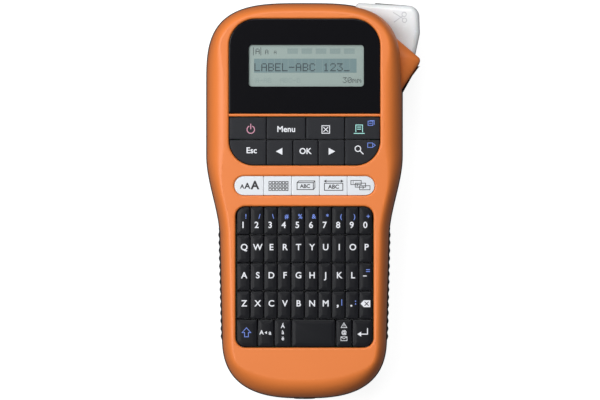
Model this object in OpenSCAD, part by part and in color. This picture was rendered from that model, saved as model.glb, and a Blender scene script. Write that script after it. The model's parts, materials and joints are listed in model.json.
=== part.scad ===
// Hand-held label maker: orange front case, charcoal rear case and back cover, keypad, display,
// tape cutter and print drive. Origin: flat back face at mid-length on the centreline.
// +X to the right of the keypad, +Y towards the cutter end, +Z out of the keypad face.

/* [Body] */
// Overall length
length = 209; // [205:1:213]
// Width across the head
head_w = 104; // [102:1:106]
// Width across the grip at its narrow end
grip_w = 87.4; // [86:0.2:90]
// Overall thickness
height = 58; // [57:0.5:60]
// Height of the joint between the front and rear cases
parting = 30; // [30:0.5:31]
// Rise of the palm arch in the back
arch_rise = 12; // [8:1:12]
// Wall thickness of the cases
wall = 2.2; // [1.8:0.1:2.4]

/* [Keypad] */
// Travel of every key
travel = 0.8; // [0.4:0.1:0.9]
// Gap between neighbouring keys
key_gap = 0.4; // [0.3:0.05:0.6]
// Letter key pitch across
pitch_x = 7.1; // [6.9:0.05:7.15]
// Letter key pitch along the body
pitch_y = 14.7; // [14.2:0.1:14.8]

/* [Cutter] */
// Width of the tape slot in the side wall
slot_w = 4.5; // [4.2:0.1:4.6]

/* [Gears] */
// Gear module
gear_m = 0.7; // [0.7:0.05:0.7]
// Thickness of a gear
gear_t = 2.4; // [1.8:0.1:2.5]

/* [Hidden] */
$fn = 64;

orange = "#e8894a";
charcoal = "#26272a";
steel = "#b4b7bb";

// Outline: superellipse caps at both ends and a smooth waist between head and grip
half_len = length / 2;
head_half = head_w / 2;
grip_half = grip_w / 2;
head_y = 60;
grip_y = -70;
head_n = 3.35;
grip_n = 2.7;
waist_top = 24;
waist_low = -20;
waist_half = grip_half + 1.2;
cap_steps = 11;
side_steps = 20;

// Case sections
rear_low = 16.2;
cover_top = 15.9;
deck_z = 28.2;
deck_t = 1.6;
deck_top = deck_z + deck_t;
top_t = 3;
under_top = height - top_t;
edge_h = 14;
side_draft = 0.7;
front_step = 0.5;

// Back face: flat under the head, arched at the palm, with a heel at the low end
arch_y = [-92, -74, -36, -10];

// Openings in the front face
window_x = 39.6;
window_y = [45.6, 95.2];
window_r = 14.4;
nav_y = [18.4, 43.9];
nav_r = 13;
strip_x = 36.7;
strip_y = [2.8, 12.9];
letter_x = 36.1;
letter_y = [-76.8, -2.9];
letter_r = 5.2;
fit = 0.3;

// Keypad heights
board_z = 47.4;
board_t = 1.6;
mat_t = 2.2;
key_low = 52.4;
key_top = 57.4;

// Cassette bay and battery bay
bay_x = [-40, 36];
bay_y = [30, 88];
bay_low = 5;
cell_x = 33;
cell_y = [-64, -15];
cell_low = 16.6;
bay_wall = 1.6;

// Cutter and tape path
hinge = [29, 95];
pin_r = 2;
run = 0.05;
lever_z = [8, 37.2];
lever_plate = 3.6;
hood_z = [38.4, 43];
slot_y = 73.6;
slot_z = [9, 27];
blade_top = 30;
block_z = 8;

// Print drive: two gear levels over a third, all on upright shafts
levels = [38, 40.8, 43.6];
platen = [42, 71.7];
roller_r = 4.4;
shaft_r = 1.2;
holder_pin = [37.2, 67];
platen_t = 16;
second_small = 14;
second_big = 34;
first_small = 12;
first_feed = 14;
first_big = 36;
pinion_t = 10;
spindle_t = 22;
second = platen + polar(reach(platen_t, second_small), 135);
first = second + polar(reach(second_big, first_small), 215);
motor = first + polar(reach(first_big, pinion_t), 180);
spindle = first + polar(reach(first_feed, spindle_t), 270);
motor_r = 10;
motor_top = 42.2;

// Screws
case_screw_at = [[-30, 96], [-46, 44], [45.2, 50], [-41, 4], [41, 4], [-30, -91], [30, -91]];
board_screw_at = [[-34, 48], [34.5, 48], [-34, 16], [34, 16], [-33, -78], [33, -78]];
post_r = 2.8;
screw_r = 1.2;
jack_z = 33.6;
jack_r = 5.5;
jack_bore = 4.6;

function polar(r, a) = r * [cos(a), sin(a)];
function reach(a, b) = gear_m * (a + b) / 2 + 0.1;
function smooth(t) = let (u = min(max(t, 0), 1)) u * u * (3 - 2 * u);
function side(y) =
    y > waist_low
    ? waist_half + (head_half - waist_half) * smooth((y - waist_low) / (waist_top - waist_low))
    : grip_half + (waist_half - grip_half) * (y - grip_y) / (waist_low - grip_y);

// Right-hand half of the outline, from the low end to the head
low_cap = [for (i = [0 : cap_steps]) let (a = 90 * i / cap_steps)
    [grip_half * pow(sin(a), 2 / grip_n), grip_y - (half_len + grip_y) * pow(cos(a), 2 / grip_n)]];
flank = [for (i = [1 : side_steps - 1]) let (y = grip_y + (head_y - grip_y) * i / side_steps)
    [side(y), y]];
head_cap = [for (i = [0 : cap_steps]) let (a = 90 * i / cap_steps)
    [head_half * pow(cos(a), 2 / head_n), head_y + (half_len - head_y) * pow(sin(a), 2 / head_n)]];
half = concat(low_cap, flank, head_cap);
count = 2 * (len(half) - 1);
base = concat(half, [for (i = [len(half) - 2 : -1 : 1]) [-half[i].x, half[i].y]]);

function unit(v) = v / norm(v);
function outward(i) =
    let (t = base[(i + 1) % count] - base[(i + count - 1) % count]) unit([t.y, -t.x]);
function inset(d) = [for (i = [0 : count - 1]) base[i] - d * outward(i)];
function arch(y) =
    arch_rise * smooth((y - arch_y[0]) / (arch_y[1] - arch_y[0]))
    * (1 - smooth((y - arch_y[2]) / (arch_y[3] - arch_y[2])));

// How far in the rounded edge of the front face reaches: least beside the letter keys
function edge_in(y) =
    5.2 + 4.6 * smooth(y / 30) * (1 - smooth((y - 64) / 24)) + 5 * (1 - smooth((y + 104) / 20));
// One ring of the front surface, t inside it, at the angle a round the rounded edge
function edge_ring(a, t) =
    let (z = height - edge_h + (edge_h - (t > 0 ? top_t : 0)) * sin(a))
    [for (i = [0 : count - 1])
        let (d = front_step + side_draft + edge_in(base[i].y) * (1 - cos(a)) + t,
            p = base[i] - d * outward(i)) [p.x, p.y, z]];
function front_rings(t) = concat(
    [[for (p = inset(front_step + t)) [p.x, p.y, parting - (t > 0 ? 1 : 0)]]],
    [for (a = [0 : 15 : 90]) edge_ring(a, t)]);

// Back surface: [inset, fraction of the way up from the arched floor to the cover's rim]
cover_rings = [[9, 0], [5, 0.05], [2.2, 0.18], [0.7, 0.42], [0, 1]];

// Joins rings of points, each as long as the outline, into one closed solid
module loft(rings) {
    n = len(rings);
    points = [for (r = rings) each r];
    sides = [for (k = [0 : n - 2]) for (i = [0 : count - 1])
        let (j = (i + 1) % count, a = k * count)
        each [[a + i, a + count + i, a + count + j], [a + i, a + count + j, a + j]]];
    caps = [for (k = [0, n - 1]) for (i = [0 : count / 2 - 1])
        let (a = k * count, q = (count - i) % count, p = count - i - 1)
        let (strip = i == 0 ? [a, a + 1, a + p]
            : p == i + 1 ? [a + i, a + p, a + q]
            : [a + i, a + i + 1, a + p, a + q])
        k == 0 ? strip : [for (m = [len(strip) - 1 : -1 : 0]) strip[m]]];
    polyhedron(points, concat(sides, caps));
}

// A flat plate with its own corner radii at the head side and at the low side
module panel(x, y, high_r, low_r, grow = 0) {
    w = x + grow;
    y0 = y[0] - grow;
    y1 = y[1] + grow;
    hr = max(high_r + grow, 0.5);
    lr = max(low_r + grow, 0.5);
    polygon([[-w + lr, y0], [w - lr, y0], [w, y0 + lr], [w, y1 - hr],
        [w - hr, y1], [-w + hr, y1], [-w, y1 - hr], [-w, y0 + lr]]);
    for (s = [-1, 1]) {
        translate([s * (w - hr), y1 - hr]) circle(hr);
        translate([s * (w - lr), y0 + lr]) circle(lr);
    }
}

module window_shape(grow = 0) { panel(window_x, window_y, window_r, 1.2, grow); }
module nav_shape(grow = 0) { panel(window_x, nav_y, 1.2, nav_r, grow); }
module strip_shape(grow = 0) { panel(strip_x, strip_y, 5.04, 5.04, grow); }
module letter_shape(grow = 0) { panel(letter_x, letter_y, letter_r, letter_r, grow); }

module slab(z0, z1) { translate([0, 0, z0]) linear_extrude(z1 - z0) children(); }
module block(x, y, z) { translate([x[0], y[0], z[0]]) cube([x[1] - x[0], y[1] - y[0], z[1] - z[0]]); }
module rod(at, r, z0, z1) { translate([at.x, at.y, z0]) cylinder(h = z1 - z0, r = r); }
module at_each(list) { for (p = list) translate([p.x, p.y, 0]) children(); }

// Fin beside the tape slot, seen from the front
module wing_shape() {
    hull() {
        translate([49, 57]) circle(1, $fn = 24);
        translate([48, 85.4]) circle(1, $fn = 24);
        translate([58.6, 73.8]) circle(2.3, $fn = 32);
    }
}

// Room that the lever's plate sweeps inside the corner of the case
module lever_room() {
    polygon([[25.2, 112], [25.2, 84], [42, 71], [72, 71], [72, 112]]);
}

module lever_shape(grow = 0) {
    hull() {
        translate([29.2, 102.1]) circle(2.2 + grow, $fn = 32);
        translate([54.6, 97]) circle(6 + grow, $fn = 48);
        translate([54.9, 88.8]) circle(6 + grow, $fn = 48);
        translate([56.4, 77.6]) circle(2.2 + grow, $fn = 32);
        translate(hinge) circle(5 + grow, $fn = 32);
    }
}

// Upright strip beside the tape slot that the blade shears against
module anvil_block() { block([54.2, 55.2], [slot_y - 3, slot_y + 0.05], [slot_z[0], slot_z[1] + 0.6]); }

// Hole through the end wall that takes the adaptor socket
module jack_hole() {
    translate([0, -half_len - 1, jack_z]) rotate([-90, 0, 0]) cylinder(h = 9, r = jack_r + 0.1);
}

module front_case() {
    color(orange) difference() {
        union() {
            difference() {
                loft(front_rings(0));
                difference() {
                    loft(front_rings(wall));
                    at_each(case_screw_at) translate([0, 0, parting]) cylinder(h = height, r = post_r);
                }
                slab(parting - 1, hood_z[0]) lever_room();
                jack_hole();
            }
            difference() {
                union() {
                    slab(hood_z[0], hood_z[1]) wing_shape();
                    intersection() {
                        slab(parting, hood_z[0] + 0.1) wing_shape();
                        block([40, 70], [50, 70.8], [parting - 1, hood_z[1]]);
                    }
                }
                slab(parting - 2, hood_z[1] + 1) polygon(inset(1.6));
            }
        }
        slab(under_top - 4, height + 1) letter_shape();
        slab(under_top - 4, height + 1) strip_shape(0.2);
        slab(under_top - 4, height + 1) nav_shape();
        slab(height - 1.8, height + 1) window_shape();
        slab(under_top - 4, height + 1) window_shape(-2.4);
        at_each(case_screw_at) translate([0, 0, parting - 1]) cylinder(h = 13, r = screw_r);
    }
}

module rear_case() {
    color(charcoal) difference() {
        union() {
            difference() {
                slab(rear_low, parting) polygon(base);
                slab(rear_low - 1, parting + 1) polygon(inset(wall));
            }
            slab(deck_z, deck_top) polygon(inset(wall - 0.4));
            difference() {
                block([bay_x[0] - bay_wall, bay_x[1] + bay_wall], [bay_y[0] - bay_wall, bay_y[1] + bay_wall],
                    [bay_low, deck_z + 0.1]);
                block(bay_x, bay_y, [bay_low - 1, deck_z + 1]);
                block([bay_x[1] - 1, bay_x[1] + 4], [63, bay_y[1] - 3], [bay_low - 1, deck_z + 1]);
            }
            difference() {
                block([-cell_x - bay_wall, cell_x + bay_wall], [cell_y[0] - bay_wall, cell_y[1] + bay_wall],
                    [cell_low, deck_z + 0.1]);
                block([-cell_x, cell_x], cell_y, [cell_low - 1, deck_z + 1]);
            }
            intersection() {
                slab(block_z, parting) wing_shape();
                difference() {
                    block([40, 70], [50, slot_y], [block_z, parting]);
                    slab(block_z - 1, parting + 1) polygon(inset(wall - 0.4));
                    slab(block_z - 1, rear_low) polygon(inset(-0.5));
                }
            }
            at_each(case_screw_at) translate([0, 0, 18]) cylinder(h = parting - 18, r = post_r + 0.2);
            at_each(board_screw_at) translate([0, 0, deck_z]) cylinder(h = board_z - deck_z, r = 2.4);
            rod(hinge, 3.4, deck_z, deck_top + 0.1);
        }
        at_each(case_screw_at) translate([0, 0, 17]) cylinder(h = parting - 16, r = screw_r + 0.3);
        at_each(case_screw_at) translate([0, 0, 17]) cylinder(h = 3, r = 2.4);
        at_each(board_screw_at) translate([0, 0, board_z - 6]) cylinder(h = 7, r = 0.9);
        block([44, 62], [slot_y, slot_y + slot_w], [rear_low - 1, slot_z[1]]);
        rod(hinge, pin_r, deck_z - 1, deck_top + 1);
        rod(holder_pin, shaft_r, deck_z - 1, deck_top + 1);
        rod(platen, 3.4, deck_z - 1, deck_top + 1);
        rod(spindle, 2.6, deck_z - 1, deck_top + 1);
        for (p = [first, second]) rod(p, 1, deck_z - 1, deck_top + 1);
        anvil_block();
        jack_hole();
    }
}

module back_cover() {
    function floor_ring(step, low) =
        [for (p = inset(step[0] + low)) let (f = low > 0 ? arch(p.y) + wall : arch(p.y))
            [p.x, p.y, f + (cover_top - f) * step[1] + (low > 0 ? step[1] : 0)]];
    color(charcoal) {
        difference() {
            loft([for (r = cover_rings) floor_ring(r, 0)]);
            loft([for (r = cover_rings) floor_ring(r, wall)]);
            block([44, 62], [slot_y, slot_y + slot_w], [slot_z[0], cover_top + 1]);
        }
        for (x = [-22, 0, 22]) {
            block([x - 3, x + 3], [98, 102.4], [6, cover_top]);
            block([x - 3, x + 3], [98, 100.3], [cover_top - 1, cover_top + 2.4]);
        }
    }
}

module display_window() {
    color("#141318") slab(height - 1.8, height - 0.4) window_shape(-0.2);
}

// Ribbed rubber pad that follows the flank of the rear case
module grip_pad(s) {
    low = -76;
    n = 48;
    run_y = [for (i = [0 : n]) low + 62 * i / n];
    ribs = [for (i = [0 : n]) [s * (side(max(run_y[i], grip_y)) + 0.9 * pow(sin(180 * i / n), 0.4)
        * (0.75 + 0.25 * cos(360 * 5 * i / n))), run_y[i]]];
    difference() {
        slab(rear_low + 0.6, parting - 0.4) polygon(concat([[s * 34, low]], ribs, [[s * 34, low + 62]]));
        slab(rear_low, parting) polygon(base);
    }
}

module left_grip() { color("#1d1e20") grip_pad(-1); }
module right_grip() { color("#1d1e20") grip_pad(1); }

module lcd_panel() {
    color("#9db0ba") slab(51, 53.2) translate([0.9, 70.4]) square([66, 28], center = true);
}

module lcd_holder() {
    color("#e4e5e2") difference() {
        block([-35.1, 36.9], [52.4, 88.4], [board_z + board_t, under_top - 0.6]);
        block([-32.2, 34], [56.3, 84.5], [51, under_top]);
        block([-29, 30.8], [59.6, 81.4], [board_z, 51.5]);
        for (y = [52.4, 84.9]) block([-36, 38], [y - 0.1, y + 3.6], [under_top - 2.4, under_top]);
    }
}

module main_board() {
    color("#2f6b45") difference() {
        block([-37, 37], [-80, 88.6], [board_z, board_z + board_t]);
        at_each(board_screw_at) translate([0, 0, board_z - 1]) cylinder(h = board_t + 2, r = 1.3);
    }
}

// A silicone mat with a raised dome under each key
module keymat(x, y, domes) {
    color("#8f9296") {
        block(x, y, [board_z + board_t, board_z + board_t + mat_t - 0.8]);
        for (p = domes) rod(p, 2.2, board_z + board_t + 0.5, board_z + board_t + mat_t);
    }
}

nav_split = [-window_x, -19.95, 0.68, 21, window_x];
nav_low_split = [-window_x, -19.95, -6.1, 7.16, 21, window_x];
nav_mid = 31.9;
strip_split = [-strip_x, -21.4, -6.8, 7.85, 22.3, strip_x];
low_split = [-letter_x, -24.6, -15.9, -6.8, 16.3, 24.9, letter_x];
letter_top = letter_y[1] - 0.2;
function mid(list, i) = (list[i] + list[i + 1]) / 2;
function row_y(r) = [letter_top - pitch_y * (r + 1), letter_top - pitch_y * r];

module nav_keymat() {
    keymat([-34, 34], [19.6, 43.4], concat(
        [for (i = [0 : 3]) [mid(nav_split, i) * 0.9, 38]],
        [for (i = [0 : 4]) [mid(nav_low_split, i) * 0.9, 25.2]]));
}

module strip_keymat() {
    keymat([-34, 34], [3.2, 12.6], [for (i = [0 : 4]) [mid(strip_split, i), 7.85]]);
}

module letter_keymat() {
    keymat([-35.6, 35.6], [-75.6, -3.4], concat(
        [for (r = [0 : 3]) for (c = [0 : 9]) [(c - 4.5) * pitch_x, row_y(r)[0] + pitch_y / 2]],
        [for (i = [0 : 5]) [mid(low_split, i), row_y(4)[0] + pitch_y / 2]]));
}

// One key cut from the shape of its opening, with a gap all round
module key_block(x, y) {
    g = key_gap / 2;
    intersection() {
        slab(key_low, key_top) children();
        block([x[0] + g, x[1] - g], [y[0] + g, y[1] - g], [key_low - 1, key_top + 1]);
    }
}

module nav_key(i) {
    color("#35363b") key_block([nav_split[i], nav_split[i + 1]], [nav_mid, nav_y[1]]) nav_shape(-fit);
}

module nav_low_key(i) {
    color("#35363b")
        key_block([nav_low_split[i], nav_low_split[i + 1]], [nav_y[0], nav_mid]) nav_shape(-fit);
}

module strip_key(i) {
    color("#e7ebf0") key_block([strip_split[i], strip_split[i + 1]], strip_y) strip_shape(-0.1);
}

module low_key(i) {
    color("#2b2d31") key_block([low_split[i], low_split[i + 1]], row_y(4)) letter_shape(-fit);
}

module letter_row(r) {
    color("#2b2d31") {
        for (c = [0 : 9])
            key_block([(c - 5) * pitch_x, (c - 4) * pitch_x], row_y(r)) letter_shape(-fit);
        block([-5 * pitch_x + 1, 5 * pitch_x - 1],
            [row_y(r)[0] + 3, row_y(r)[1] - 3], [key_low, key_low + 0.8]);
    }
}

module key_power() { nav_key(0); }
module key_menu() { nav_key(1); }
module key_clear() { nav_key(2); }
module key_print() { nav_key(3); }
module key_escape() { nav_low_key(0); }
module key_left() { nav_low_key(1); }
module key_ok() { nav_low_key(2); }
module key_right() { nav_low_key(3); }
module key_preview() { nav_low_key(4); }
module key_size() { strip_key(0); }
module key_patterns() { strip_key(1); }
module key_wrap() { strip_key(2); }
module key_length() { strip_key(3); }
module key_numbering() { strip_key(4); }
module digit_keys() { letter_row(0); }
module top_letter_keys() { letter_row(1); }
module middle_letter_keys() { letter_row(2); }
module bottom_letter_keys() { letter_row(3); }
module key_shift() { low_key(0); }
module key_caps() { low_key(1); }
module key_accent() { low_key(2); }
module key_space() { low_key(3); }
module key_symbol() { low_key(4); }
module key_enter() { low_key(5); }

module cutter_lever() {
    skirt_top = lever_z[1] - lever_plate;
    color("#e3e6e9") difference() {
        union() {
            slab(skirt_top, lever_z[1]) lever_shape();
            difference() {
                slab(lever_z[0], skirt_top + 0.1) lever_shape();
                slab(lever_z[0] - 1, skirt_top + 1) lever_shape(-2);
                for (turn = [0 : 5 : 10])
                    slab(lever_z[0] - 1, skirt_top)
                        translate(hinge) rotate(turn) translate(-hinge) polygon(inset(-0.9));
                block([20, 37], [80, 110], [lever_z[0] - 1, skirt_top]);
                block([20, 72], [70, slot_y + 5.9], [lever_z[0] - 1, skirt_top - 2.5]);
            }
            block([56.2, 57.8], [slot_y + 5.9, 88], [lever_z[0] + 1, skirt_top + 0.1]);
        }
        rod(hinge, pin_r + run, lever_z[0], lever_z[1] + 1);
    }
}

module cutter_blade() {
    color(steel) block([55.6, 56.2], [slot_y + slot_w + 0.3, 88], [slot_z[0] + 0.4, blade_top]);
}

module cutter_pivot() {
    color(steel) {
        rod(hinge, pin_r, deck_z, lever_z[1] + 0.4);
        rod(hinge, 3.2, lever_z[1] + 0.3, hood_z[0] - 0.2);
    }
}

module cutter_spring() {
    color(steel) {
        for (i = [0 : 3]) translate([hinge.x, hinge.y, deck_top + 0.7 + 0.6 * i])
            rotate_extrude() translate([2.9, 0]) circle(0.35, $fn = 24);
        block([hinge.x - 13, hinge.x], [hinge.y + 2.6, hinge.y + 3.2], [deck_top + 0.4, deck_top + 1]);
    }
}

module cutter_anvil() { color(steel) anvil_block(); }

module print_head() {
    color("#d8d3c4") block([38.5, 45.5], [76.7, 78.2], slot_z);
}

module head_plate() {
    color("#a9adb2") {
        block([38.5, 45.5], [78.2, 80], [8, deck_z]);
        block([38.5, 45.5], [80, 86], [deck_z - 1.6, deck_z]);
    }
}

module platen_roller() {
    color("#2a2a2c") difference() {
        rod(platen, roller_r, slot_z[0], slot_z[1]);
        rod(platen, shaft_r, slot_z[0] - 1, slot_z[1] + 1);
    }
}

// Spur gear with straight-flanked teeth, a tooth (or a gap) set on the given bearing
module gear(at, teeth, level, bearing, gap = false) {
    r = gear_m * teeth / 2;
    step = 360 / teeth;
    turn = bearing + (gap ? step / 2 : 0);
    half_tip = 0.36 * gear_m / (r + 0.9 * gear_m) * 180 / PI;
    half_root = 1.02 * gear_m / (r - 1.15 * gear_m) * 180 / PI;
    translate([at.x, at.y, levels[level]]) linear_extrude(gear_t)
        polygon([for (i = [0 : teeth - 1]) let (a = turn + step * i) each [
            polar(r - 1.15 * gear_m, a - half_root), polar(r + 0.9 * gear_m, a - half_tip),
            polar(r + 0.9 * gear_m, a + half_tip), polar(r - 1.15 * gear_m, a + half_root)]]);
}

module platen_shaft() {
    color(steel) {
        rod(platen, shaft_r, 5.6, levels[0] + gear_t);
        gear(platen, platen_t, 0, 135);
    }
}

module roller_holder() {
    arm = platen - holder_pin;
    color("#3a3c40") difference() {
        union() {
            rod(holder_pin, 2, 6.4, deck_z - 0.4);
            for (z = [6.4, deck_z - 0.8]) {
                rod(platen, 2.6, z, z + (z < 10 ? 1.6 : 0.4));
                translate([holder_pin.x, holder_pin.y, z]) rotate(atan2(arm.y, arm.x)) translate([0, -2.6, 0])
                    cube([norm(arm), 5.2, z < 10 ? 1.6 : 0.4]);
            }
        }
        rod(holder_pin, shaft_r + run, 5, deck_z);
        rod(platen, shaft_r + run, 5, deck_z);
    }
}

module holder_pivot() {
    color(steel) {
        rod(holder_pin, shaft_r, 5.8, deck_top);
        rod(holder_pin, 2.2, 5.2, 6);
    }
}

module ribbon_spindle() {
    color("#c9ccd0") {
        rod(spindle, 2.2, 8, levels[0] + gear_t);
        gear(spindle, spindle_t, 0, 90, true);
        for (a = [0 : 60 : 300]) translate([spindle.x, spindle.y, 8]) rotate(a)
            translate([1.9, -0.5, 0]) cube([1.3, 1, 16]);
    }
}

module drive_motor() {
    color("#b9bcc0") difference() {
        union() {
            rod(motor, motor_r, deck_top, motor_top - 1);
            rod(motor, motor_r - 1.2, motor_top - 1.1, motor_top);
        }
        rod(motor, 1, deck_top + 2, motor_top + 1);
    }
}

module motor_pinion() {
    color("#c9a45c") {
        gear(motor, pinion_t, 2, 0);
        rod(motor, 1 - run, deck_top + 2.2, levels[2] + gear_t);
    }
}

module first_gear() {
    color("#dfe1e3") difference() {
        union() {
            gear(first, first_big, 2, 180, true);
            gear(first, first_small, 1, 35);
            gear(first, first_feed, 0, 270);
            rod(first, 3, levels[0] - 0.6, levels[2]);
        }
        rod(first, 1 + run, levels[0] - 2, levels[2] + 5);
    }
}

module second_gear() {
    color("#dfe1e3") difference() {
        union() {
            gear(second, second_big, 1, 215, true);
            gear(second, second_small, 0, 315, true);
            rod(second, 3, levels[0] - 0.4, levels[1]);
        }
        rod(second, 1 + run, levels[0] - 2, levels[2] + 5);
    }
}

module gear_posts() {
    color(steel) for (p = [first, second]) {
        rod(p, 1, deck_z, (p == first ? levels[2] : levels[1]) + gear_t + 0.5);
        rod(p, 2.6, deck_top, levels[0] - 1.1);
    }
}

module battery_springs() {
    color(steel) for (i = [0 : 5]) translate([(i - 2.5) * 10.8, cell_y[0], 22]) rotate([-90, 0, 0])
        rotate_extrude() union() for (k = [0 : 4]) translate([3.6 - 0.4 * k, 0.35 + 0.5 * k])
            circle(0.35, $fn = 16);
}

module battery_plates() {
    color(steel) for (i = [0 : 5]) translate([(i - 2.5) * 10.8, cell_y[1], 22]) rotate([90, 0, 0]) {
        translate([-3.6, -4, 0]) cube([7.2, 8, 0.4]);
        cylinder(h = 1, r = 1.6);
    }
}

module dc_jack() {
    color("#161618") translate([0, -half_len + 0.1, jack_z]) rotate([-90, 0, 0]) difference() {
        union() {
            cylinder(h = 7.9, r = jack_r);
            translate([-5, -5, 7.8]) cube([10, 8.6, 6]);
        }
        translate([0, 0, -1]) cylinder(h = 5, r = jack_bore);
        difference() {
            translate([0, 0, 3]) cylinder(h = 9, r = 2.8);
            translate([0, 0, 2]) cylinder(h = 11, r = 0.8);
        }
    }
}

module case_screws() {
    color(steel) at_each(case_screw_at) {
        translate([0, 0, 20]) cylinder(h = 20, r = screw_r);
        difference() {
            translate([0, 0, 18.4]) cylinder(h = 1.6, r = 2.2);
            translate([-1.6, -0.3, 18]) cube([3.2, 0.6, 1]);
        }
    }
}

module board_screws() {
    color(steel) at_each(board_screw_at) {
        translate([0, 0, board_z - 5]) cylinder(h = board_t + 5, r = 0.9);
        translate([0, 0, board_z + board_t]) cylinder(h = 1, r = 1.9);
    }
}

front_case();
rear_case();
back_cover();
display_window();
left_grip();
right_grip();
lcd_panel();
lcd_holder();
main_board();
nav_keymat();
strip_keymat();
letter_keymat();
key_power();
key_menu();
key_clear();
key_print();
key_escape();
key_left();
key_ok();
key_right();
key_preview();
key_size();
key_patterns();
key_wrap();
key_length();
key_numbering();
digit_keys();
top_letter_keys();
middle_letter_keys();
bottom_letter_keys();
key_shift();
key_caps();
key_accent();
key_space();
key_symbol();
key_enter();
cutter_lever();
cutter_blade();
cutter_pivot();
cutter_spring();
cutter_anvil();
print_head();
head_plate();
platen_roller();
platen_shaft();
roller_holder();
holder_pivot();
ribbon_spindle();
drive_motor();
motor_pinion();
first_gear();
second_gear();
gear_posts();
battery_springs();
battery_plates();
dc_jack();
case_screws();
board_screws();
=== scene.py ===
"""Label maker: the looks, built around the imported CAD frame.

The object's own sizes are in millimetres; make_piece turns them to metres. The rest is in metres.
"""
import json
import math

import bmesh
import bpy
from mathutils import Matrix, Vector


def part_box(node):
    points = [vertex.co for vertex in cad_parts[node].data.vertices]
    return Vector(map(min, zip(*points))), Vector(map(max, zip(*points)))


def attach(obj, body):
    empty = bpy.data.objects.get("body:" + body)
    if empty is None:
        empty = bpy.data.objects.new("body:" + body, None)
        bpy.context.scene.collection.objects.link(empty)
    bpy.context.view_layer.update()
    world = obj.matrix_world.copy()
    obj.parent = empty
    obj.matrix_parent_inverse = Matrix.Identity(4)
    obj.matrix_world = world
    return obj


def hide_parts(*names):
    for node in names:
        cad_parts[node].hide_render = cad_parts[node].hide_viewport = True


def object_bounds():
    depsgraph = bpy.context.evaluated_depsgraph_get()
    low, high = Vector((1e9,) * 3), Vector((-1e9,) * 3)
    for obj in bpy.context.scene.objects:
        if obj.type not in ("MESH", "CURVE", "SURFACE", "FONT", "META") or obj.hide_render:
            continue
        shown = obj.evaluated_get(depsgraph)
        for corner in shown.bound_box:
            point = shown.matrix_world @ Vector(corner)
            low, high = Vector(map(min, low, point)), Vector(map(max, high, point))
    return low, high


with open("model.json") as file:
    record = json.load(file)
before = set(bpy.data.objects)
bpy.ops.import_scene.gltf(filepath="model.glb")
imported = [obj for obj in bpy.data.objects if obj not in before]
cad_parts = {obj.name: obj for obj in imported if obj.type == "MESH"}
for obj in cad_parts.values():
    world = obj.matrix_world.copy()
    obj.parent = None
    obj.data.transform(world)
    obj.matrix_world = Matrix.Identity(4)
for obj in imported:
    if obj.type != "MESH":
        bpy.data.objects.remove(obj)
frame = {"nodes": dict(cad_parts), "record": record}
cad_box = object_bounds()
MM = 0.001

# ---------------- camera, lights and floor

VIEW_SPAN = 315.84 * MM      # width of the view at the case's widest level
CAM_X, CAM_Y = -2.37 * MM, 0.39 * MM
CAM_H = 2.4                  # height of the lens above the reference level
REF_Z = 40 * MM


def put_in_scene(obj):
    bpy.context.scene.collection.objects.link(obj)


def add_camera():
    data = bpy.data.cameras.new("camera")
    data.sensor_width = 36
    data.lens = data.sensor_width * CAM_H / VIEW_SPAN
    data.clip_end = 20
    cam = bpy.data.objects.new("camera", data)
    cam.location = (CAM_X, CAM_Y, CAM_H + REF_Z)
    put_in_scene(cam)
    bpy.context.scene.camera = cam


def add_light(name, place, size, size_y, power):
    """A rectangular lamp, aimed at the middle of the object."""
    data = bpy.data.lights.new(name, "AREA")
    data.shape = "RECTANGLE"
    data.size = size
    data.size_y = size_y
    data.energy = power
    lamp = bpy.data.objects.new(name, data)
    lamp.location = place
    aim = Vector((0, 0, 30 * MM)) - Vector(place)
    lamp.rotation_euler = aim.to_track_quat("-Z", "Y").to_euler()
    put_in_scene(lamp)


def add_lights():
    add_light("key", (-0.85, 0.2, 1.35), 0.8, 1.4, 22)
    add_light("head_light", (0.1, 1.0, 1.2), 0.7, 0.7, 9)
    world = bpy.data.worlds.new("studio")
    world.use_nodes = True
    back = world.node_tree.nodes["Background"]
    back.inputs["Color"].default_value = (1, 1, 1, 1)
    back.inputs["Strength"].default_value = 0.13
    bpy.context.scene.world = world
    bpy.context.scene.view_settings.view_transform = "Standard"


# ---------------- materials

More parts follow.
